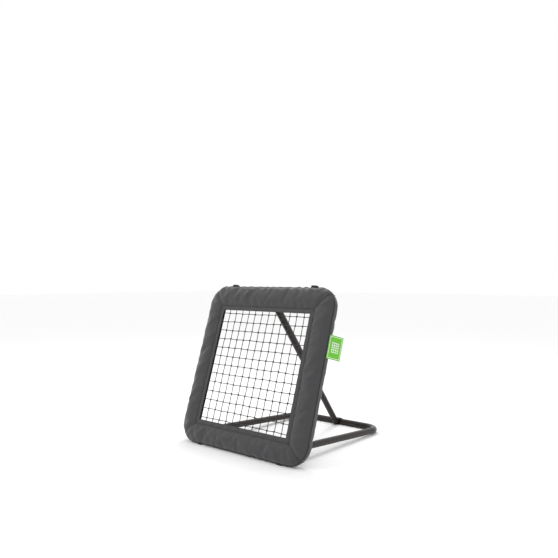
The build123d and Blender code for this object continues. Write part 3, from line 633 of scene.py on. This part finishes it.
def cover_panel(side, cover):
    """One side's cloth: a grid along the side and across the section, settled as cloth."""
    section = cover_section(cover)
    columns = panel_columns(cover)
    bm = bmesh.new()
    layer = bm.loops.layers.uv.new("Cloth")
    grid, pins, places = [], [], {}
    walked = 0.0
    for r, (inset, depth, zone) in enumerate(section):
        if r:
            walked += math.dist(section[r - 1][:2], (inset, depth))
        row = []
        for c, column in enumerate(columns):
            position, along = cover_point(side, column, inset, depth, zone, cover)
            vertex = bm.verts.new(position)
            places[vertex] = (along, walked, inset)
            fixed = zone in ("edge", "seam", "hem") or r < 2 or c in (0, len(columns) - 1)
            pins.append(1.0 if fixed else 0.0)
            row.append(vertex)
        grid.append(row)
    for r in range(len(section) - 1):
        for c in range(len(columns) - 1):
            corners = (grid[r][c], grid[r + 1][c], grid[r + 1][c + 1], grid[r][c + 1])
            middle = sum(places[v][0] for v in corners) / 4
            inner = sum(places[v][2] for v in corners) / 4
            if section[r][2] == "flap" and in_notch(side, middle, inner):
                continue
            face = bm.faces.new(corners)
            for loop in face.loops:
                loop[layer].uv = places[loop.vert][:2]
    bm.normal_update()
    mesh = bpy.data.meshes.new("cover_" + side)
    bm.to_mesh(mesh)
    bm.free()
    return mesh, pins


def facing_out(mesh):
    """Flips a panel whose cloth faces into the foam."""
    front = [p for p in mesh.polygons if abs(p.normal.y) > 0.9 and p.center.y < 10 * MM]
    if sum(p.normal.y for p in front) > 0:
        mesh.flip_normals()


def outline(inset, depth, zone, cover, steps=12):
    """Closed line round the whole pad at one inset and depth, with the cover's gathers."""
    line = []
    for side in SIDES:
        columns = [("arc", -1, HALF_CORNER * (1 - i / steps)) for i in range(steps)]
        columns += [("run", 0, -1 + 2 * i / 80) for i in range(81)]
        columns += [("arc", 1, HALF_CORNER * (i + 1) / steps) for i in range(steps - 1)]
        line += [cover_point(side, column, inset, depth, zone, cover)[0] for column in columns]
    return line


class REBOUNDER_OT_cover(bpy.types.Operator):
    """Padded cover: four mitred panels settled as cloth over the foam"""
    bl_idname = "rebounder.cover"
    bl_label = "Padded cover"

    def execute(self, context):
        cover = context.scene.rebounder_cover
        fabric = coated_polyester(cover)
        for side in SIDES:
            mesh, pins = cover_panel(side, cover)
            facing_out(mesh)
            piece = new_object("padded_cover_" + side, mesh, "net_frame")
            cloth_settled(piece, pins, 1.2, -0.012, 18, 5 * MM)
            mesh.transform(LEAN)
            shell = piece.modifiers.new("Fabric", "SOLIDIFY")
            shell.thickness = cover.thickness
            shell.offset = -1
            piece.modifiers.new("Smooth", "SUBSURF").levels = 1
            apply_modifiers(piece)
            piece.data.materials.append(fabric)
            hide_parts("cover_" + side, "foam_" + side)
        return {"FINISHED"}


def stitch_row(bm, line, length, gap, radius, lift):
    """Short thread stitches along a closed line."""
    count = len(line)
    walked, target = 0.0, 0.0
    for i in range(count):
        a, b = line[i], line[(i + 1) % count]
        run = (b - a).length
        if run < 1e-6:
            continue
        while target < walked + run:
            start = a + (b - a) * ((target - walked) / run)
            end = start + (b - a).normalized() * length
            middle = (start + end) / 2 + lift
            sweep(bm, [start, middle, end], radius, 5)
            target += length + gap
        walked += run


class REBOUNDER_OT_seams(bpy.types.Operator):
    """Piping, mitre seams and stitching of the cover"""
    bl_idname = "rebounder.seams"
    bl_label = "Seams and piping"

    def execute(self, context):
        cover = context.scene.rebounder_cover
        bm = bmesh.new()
        sweep(bm, outline(0.2 * MM, PIPING_DEPTH, "edge", cover), 2.4 * MM, 8, closed=True)
        self.sewn("edge_piping", bm, cover)
        bm = bmesh.new()
        sweep(bm, outline(HEM_SEAM, 3.0 * MM, "seam", cover), 1.2 * MM, 8, closed=True)
        self.sewn("hem_piping", bm, cover)
        bm = bmesh.new()
        for side in SIDES:
            column = ("arc", 1, HALF_CORNER)
            line = [cover_point(side, column, inset, depth, zone, cover)[0]
                    for inset, depth, zone in cover_section(cover) if zone != "hem"]
            sweep(bm, smooth_path(line, 2), 1.3 * MM, 6)
        self.sewn("mitre_seams", bm, cover)
        bm = bmesh.new()
        lift = Vector((0, -0.5 * MM, 0))
        for inset in (HEM_SEAM + 4.5 * MM, PAD_HALF - OPEN_HALF - 3.5 * MM):
            stitch_row(bm, outline(inset, 2.3 * MM, "hem", cover), 3.4 * MM, 1.6 * MM, 0.35 * MM, lift)
        self.sewn("hem_stitching", bm, cover)
        return {"FINISHED"}

    def sewn(self, name, bm, cover):
        """Makes one piece of piping or thread."""
        piece = new_object(name, finished_mesh(bm, name, LEAN), "net_frame")
        piece.data.materials.append(seam_thread(cover))


# --------------------------------------------------------------------------------- net
KNOT_SIZE = 4.2 * MM
SEWN_END = 14 * MM
WEBBING_WIDTH = 20 * MM


def knot(bm, centre, size, radius, turn):
    """A tight overhand knot of the cord where two cords cross."""
    line = []
    for k in range(18):
        t = 2 * math.pi * k / 18
        x = size * (math.sin(t) + 2 * math.sin(2 * t)) / 3
        z = size * (math.cos(t) - 2 * math.cos(2 * t)) / 3
        y = -size * 0.34 * math.sin(3 * t)
        line.append(centre + Matrix.Rotation(turn, 3, "Y") @ Vector((x, y, z)))
    sweep(bm, line, radius, 6, closed=True)


class REBOUNDER_OT_net(bpy.types.Operator):
    """Knotted net and the webbing sewn round it"""
    bl_idname = "rebounder.net"
    bl_label = "Net"

    def execute(self, context):
        net = context.scene.rebounder_net
        cord = braided_cord(net)
        draw = random.Random(7)
        reach = BORDER_BOX[1].x - 12 * MM
        over = BORDER_BOX[0].y - net.cord / 2
        knots = {}
        for i in range(net.columns):
            for j in range(net.rows):
                x = (i - (net.columns - 1) / 2) * net.pitch + draw.uniform(-1, 1) * net.slack
                z = OPEN_MID + (j - (net.rows - 1) / 2) * net.pitch + draw.uniform(-1, 1) * net.slack
                knots[i, j] = Vector((x, NET_DEPTH + draw.uniform(-0.5, 0.5) * net.slack, z))
        up, right = Vector((0, 0, 1)), Vector((1, 0, 0))
        cords = [([knots[i, j] for j in range(net.rows)], up) for i in range(net.columns)]
        cords += [([knots[i, j] for i in range(net.columns)], right) for j in range(net.rows)]
        bm = bmesh.new()
        for row, along in cords:
            line = self.strung(row, along, reach, over, draw, net)
            sweep(bm, smooth_path(line, 3), net.cord / 2, 7)
        for centre in knots.values():
            knot(bm, centre, KNOT_SIZE, net.cord * 0.45, draw.uniform(0, 6.28))
        mesh = finished_mesh(bm, "knotted_net", LEAN)
        piece = new_object("knotted_net", mesh, "net_frame")
        piece.data.materials.append(cord)
        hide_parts("net")
        self.webbing(net)
        return {"FINISHED"}

    def strung(self, row, along, reach, over, draw, net):
        """One cord through its knots, bowed a little between them, its ends sewn on the webbing."""
        ends = []
        for sign, first in ((-1, row[0]), (1, row[-1])):
            middle = Vector((0, 0, OPEN_MID)).dot(along)
            across = first - along * first.dot(along)
            inner = across + along * (middle + sign * (reach - SEWN_END))
            outer = across + along * (middle + sign * reach)
            inner.y, outer.y = over, over
            ends.append((inner, outer))
        line = [ends[0][1], ends[0][0]]
        for a, b in zip(row, row[1:]):
            line.append(a)
            bow = Vector((draw.uniform(-1, 1), 0, draw.uniform(-1, 1))) * net.slack * 0.8
            line.append((a + b) / 2 + bow - along * bow.dot(along))
        line += [row[-1], ends[1][0], ends[1][1]]
        return line

    def webbing(self, net):
        """Four ribbed straps round the net's edge, with rounded selvedges and a slight ripple."""
        outer = BORDER_BOX[1].x
        width = WEBBING_WIDTH
        thick = (BORDER_BOX[1].y - BORDER_BOX[0].y) * 0.8
        bm = bmesh.new()
        layer = bm.loops.layers.uv.new("Cloth")
        profile = [(-1, 0), (-0.94, -0.8), (-0.8, -1), (0, -0.92), (0.8, -1), (0.94, -0.8),
                   (1, 0), (0.94, 0.8), (0.8, 1), (0, 0.92), (-0.8, 1), (-0.94, 0.8)]
        for turn in range(4):
            spin = Matrix.Rotation(math.pi / 2 * turn, 3, "Y")
            rings = []
            for k in range(65):
                x = -outer + width + (2 * outer - width) * k / 64
                ripple = 0.35 * MM * math.sin(x / (48 * MM) * 2 * math.pi + turn)
                ring = []
                for a, b in profile:
                    depth = NET_DEPTH + b * thick / 2 + ripple
                    at = spin @ Vector((x, 0, outer - width / 2 + a * width / 2))
                    ring.append(bm.verts.new(Vector((at.x, depth, at.z + OPEN_MID))))
                rings.append((x, ring))
            for (x0, low), (x1, high) in zip(rings, rings[1:]):
                for m in range(len(profile)):
                    n = (m + 1) % len(profile)
                    face = bm.faces.new((low[m], low[n], high[n], high[m]))
                    for loop, uv in zip(face.loops, ((x0, m), (x0, m + 1), (x1, m + 1), (x1, m))):
                        loop[layer].uv = (uv[0], uv[1] * 3.6 * MM)
            bm.faces.new(rings[0][1])
            bm.faces.new(rings[-1][1][::-1])
        mesh = finished_mesh(bm, "border_webbing", LEAN)
        piece = new_object("border_webbing", mesh, "net_frame")
        piece.data.materials.append(ribbed_webbing(net))
        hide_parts("net_border")


# ------------------------------------------------------------------------------- label
LABEL_FLARE = math.radians(23)
LABEL_CURL = 3.2 * MM


def label_point(label, across, up, proud=0.0):
    """Row-frame point on the label: across from the seam and up the seam, both in metres."""
    low = LABEL_BOX[0]
    flare = LABEL_FLARE
    ease = 0.5 + 0.5 * math.sin(up / label.height * 5)
    curl = LABEL_CURL * math.sin(math.pi * across / label.width) * ease
    out = Vector((math.sin(flare), math.cos(flare), 0))
    normal = Vector((math.cos(flare), -math.sin(flare), 0))
    base = Vector((PAD_HALF + 1.2 * MM, low.y + 1.0 * MM, low.z))
    return LEAN @ (base + out * across * 0.985 + normal * (curl + proud) + Vector((0, 0, up)))


def label_patch(bm, label, x0, x1, z0, z1, proud, columns=2, rows=2):
    """A small woven patch that follows the label's curve."""
    layer = bm.loops.layers.uv.get("Cloth") or bm.loops.layers.uv.new("Cloth")
    grid = []
    for r in range(rows + 1):
        up = z0 + (z1 - z0) * r / rows
        grid.append([(bm.verts.new(label_point(label, x0 + (x1 - x0) * c / columns, up, proud)),
                      (x0 + (x1 - x0) * c / columns, up)) for c in range(columns + 1)])
    for r in range(rows):
        for c in range(columns):
            corners = (grid[r][c], grid[r][c + 1], grid[r + 1][c + 1], grid[r + 1][c])
            face = bm.faces.new([v for v, uv in corners])
            for loop, (v, uv) in zip(face.loops, corners):
                loop[layer].uv = uv


class REBOUNDER_OT_label(bpy.types.Operator):
    """Woven side label with a plain border and a small net motif"""
    bl_idname = "rebounder.label"
    bl_label = "Side label"

    def execute(self, context):
        label = context.scene.rebounder_label
        bm = bmesh.new()
        label_patch(bm, label, 0, label.width, 0, label.height, 0, 16, 24)
        piece = new_object("woven_label", finished_mesh(bm, "woven_label"), "net_frame")
        self.thicken(piece, 1.0 * MM)
        piece.data.materials.append(woven_label("Woven green label", label.colour))
        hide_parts("side_label")
        trim = self.motif(label)
        return {"FINISHED"}

    def thicken(self, piece, thickness):
        shell = piece.modifiers.new("Cloth", "SOLIDIFY")
        shell.thickness = thickness
        shell.offset = 0
        apply_modifiers(piece)

    def motif(self, label):
        """Woven white border and a small square net, on both faces of the label."""
        bm = bmesh.new()
        inset, line = 5 * MM, 2.2 * MM
        wide, tall = label.width, label.height
        cell, bar = 11 * MM, 2.4 * MM
        left, low = wide / 2 - 1.5 * cell, tall / 2 - 2 * cell
        for proud in (0.75 * MM, -0.75 * MM):
            label_patch(bm, label, inset, wide - inset, inset, inset + line, proud, 12, 1)
            label_patch(bm, label, inset, wide - inset, tall - inset - line, tall - inset, proud, 12, 1)
            for edge in (inset, wide - inset - line):
                label_patch(bm, label, edge, edge + line, inset + line, tall - inset - line,
                            proud, 1, 20)
            for k in range(4):
                label_patch(bm, label, left + k * cell - bar / 2, left + k * cell + bar / 2,
                            low - 4 * MM, low + 4 * cell + 4 * MM, proud, 1, 12)
            for k in range(5):
                label_patch(bm, label, left - 4 * MM, left + 3 * cell + 4 * MM,
                            low + k * cell - bar / 2, low + k * cell + bar / 2, proud * 1.15, 12, 1)
        piece = new_object("label_motif", finished_mesh(bm, "label_motif"), "net_frame")
        self.thicken(piece, 0.3 * MM)
        piece.data.materials.append(woven_label("Woven white motif", label.print_colour))
        return piece


# ---------------------------------------------------------------------- CAD node finishes
class REBOUNDER_OT_metalwork(bpy.types.Operator):
    """Finishes of the tubes, brackets, fasteners, mouldings and rubber"""
    bl_idname = "rebounder.metalwork"
    bl_label = "Metalwork finishes"

    def execute(self, context):
        cord = bpy.data.materials["Braided net cord"]
        finishes = {"powder_coated_steel": powder_coat(), "black_zinc_steel": black_zinc(),
                    "foot_rubber": moulded_rubber(), "black_nylon": moulded_nylon(),
                    "elastic_band": cord}
        finishes["bush_nylon"] = finishes["black_nylon"]
        slots = {s["node"]: s["material_slot"] for s in RECORD["subparts"]}
        for name, node in frame["nodes"].items():
            finish = finishes.get(slots[name])
            if finish is None:
                continue
            if not node.data.materials:
                node.data.materials.append(finish)
            for index in range(len(node.data.materials)):
                node.data.materials[index] = finish
        return {"FINISHED"}


def weld_bead(bm, centre, axis, radius, size):
    """Rippled weld bead round a tube."""
    other = axis.orthogonal().normalized()
    third = axis.cross(other)
    steps = 40
    line = []
    for k in range(steps + 1):
        turn = 2 * math.pi * k / steps
        swell = 0.25 * size * math.sin(k * 2.1)
        line.append(centre + (other * math.cos(turn) + third * math.sin(turn)) * (radius + swell))
    sweep(bm, line, size, 7)


class REBOUNDER_OT_welds(bpy.types.Operator):
    """Weld beads where the brackets meet the frame tube"""
    bl_idname = "rebounder.welds"
    bl_label = "Weld beads"

    def execute(self, context):
        radius = (TUBE_BOX[1].y - TUBE_BOX[0].y) / 2
        depth = (TUBE_BOX[1].y + TUBE_BOX[0].y) / 2
        bm = bmesh.new()
        for node, centre_z in (("hinge_bracket_left", TUBE_BOX[0].z + radius),
                               ("hinge_bracket_right", TUBE_BOX[0].z + radius),
                               ("strut_head_bracket", upright_box("upper_frame_tube")[1].z - radius)):
            low, high = upright_box(node)
            for x in (low.x - 0.4 * MM, high.x + 0.4 * MM):
                centre = Vector((x, depth, centre_z))
                weld_bead(bm, centre, Vector((1, 0, 0)), radius + 0.6 * MM, 1.4 * MM)
        mesh = finished_mesh(bm, "weld_beads", LEAN)
        piece = new_object("weld_beads", mesh, "net_frame")
        piece.data.materials.append(bpy.data.materials["Powder-coated steel"])
        return {"FINISHED"}


# ------------------------------------------------------------------------------- stage
LAMP_TARGET = Vector((0, 0.3, 0.4))
PAPER_HALF = 30


class REBOUNDER_OT_stage(bpy.types.Operator):
    """Pale floor and sweep, soft studio lights and the camera"""
    bl_idname = "rebounder.stage"
    bl_label = "Stage"

    def execute(self, context):
        stage = context.scene.rebounder_stage
        self.sweep_paper(stage)
        self.lights(context)
        data = bpy.data.cameras.new("studio_camera")
        data.lens = stage.lens
        data.sensor_width = 36
        camera = bpy.data.objects.new("studio_camera", data)
        camera.location = stage.camera
        camera.rotation_euler = (math.pi / 2, 0, stage.azimuth)
        context.scene.collection.objects.link(camera)
        context.scene.camera = camera
        return {"FINISHED"}

    def sweep_paper(self, stage):
        bm = bmesh.new()
        bmesh.ops.create_grid(bm, x_segments=2, y_segments=2, size=PAPER_HALF)
        floor = bpy.data.meshes.new("studio_floor")
        bm.to_mesh(floor)
        bm.free()
        piece = bpy.data.objects.new("studio_floor", floor)
        bpy.context.scene.collection.objects.link(piece)
        piece.data.materials.append(studio_floor(stage.floor))

    def lights(self, context):
        world = bpy.data.worlds.new("studio_air")
        context.scene.world = world
        world.use_nodes = True
        sky = world.node_tree.nodes["Background"]
        sky.inputs["Color"].default_value = (1, 1, 1, 1)
        sky.inputs["Strength"].default_value = 1.0
        context.scene.view_settings.view_transform = "Standard"
        lamps = [("key_softbox", (-1.6, -2.4, 3.4), 1.6, 22), ("fill_softbox", (3.4, -1.4, 2.4), 2.4, 8),
                 ("top_softbox", (-1.1, 1.7, 3.6), 1.0, 34)]
        for name, place, size, power in lamps:
            data = bpy.data.lights.new(name, "AREA")
            data.shape = "SQUARE"
            data.size = size
            data.energy = power
            lamp = bpy.data.objects.new(name, data)
            lamp.location = place
            aim = LAMP_TARGET - Vector(place)
            lamp.rotation_euler = aim.to_track_quat("-Z", "Y").to_euler()
            context.scene.collection.objects.link(lamp)


class REBOUNDER_PT_panel(bpy.types.Panel):
    """Sizes, colours and building steps of the rebounder"""
    bl_idname = "REBOUNDER_PT_panel"
    bl_label = "Rebounder"
    bl_space_type = "VIEW_3D"
    bl_region_type = "UI"
    bl_category = "Rebounder"

    def draw(self, context):
        scene = context.scene
        for attribute in GROUPS:
            group = getattr(scene, attribute)
            box = self.layout.box()
            for name in group.__annotations__:
                box.prop(group, name)
        for operator in OPERATORS:
            self.layout.operator(operator.bl_idname)


GROUPS = {"rebounder_cover": RebounderCover, "rebounder_net": RebounderNet,
          "rebounder_label": RebounderLabel, "rebounder_stage": RebounderStage}
OPERATORS = [REBOUNDER_OT_cover, REBOUNDER_OT_seams, REBOUNDER_OT_net, REBOUNDER_OT_label,
             REBOUNDER_OT_metalwork, REBOUNDER_OT_welds, REBOUNDER_OT_stage]


def register():
    for group in [*GROUPS.values(), *OPERATORS, REBOUNDER_PT_panel]:
        bpy.utils.register_class(group)
    for name, group in GROUPS.items():
        setattr(bpy.types.Scene, name, PointerProperty(type=group))


def unregister():
    for name in GROUPS:
        delattr(bpy.types.Scene, name)
    for group in reversed([*GROUPS.values(), *OPERATORS, REBOUNDER_PT_panel]):
        bpy.utils.unregister_class(group)


def main():
    register()
    for name in ("cover", "seams", "net", "label", "metalwork", "welds", "stage"):
        getattr(bpy.ops.rebounder, name)()


if __name__ == "__main__":
    main()
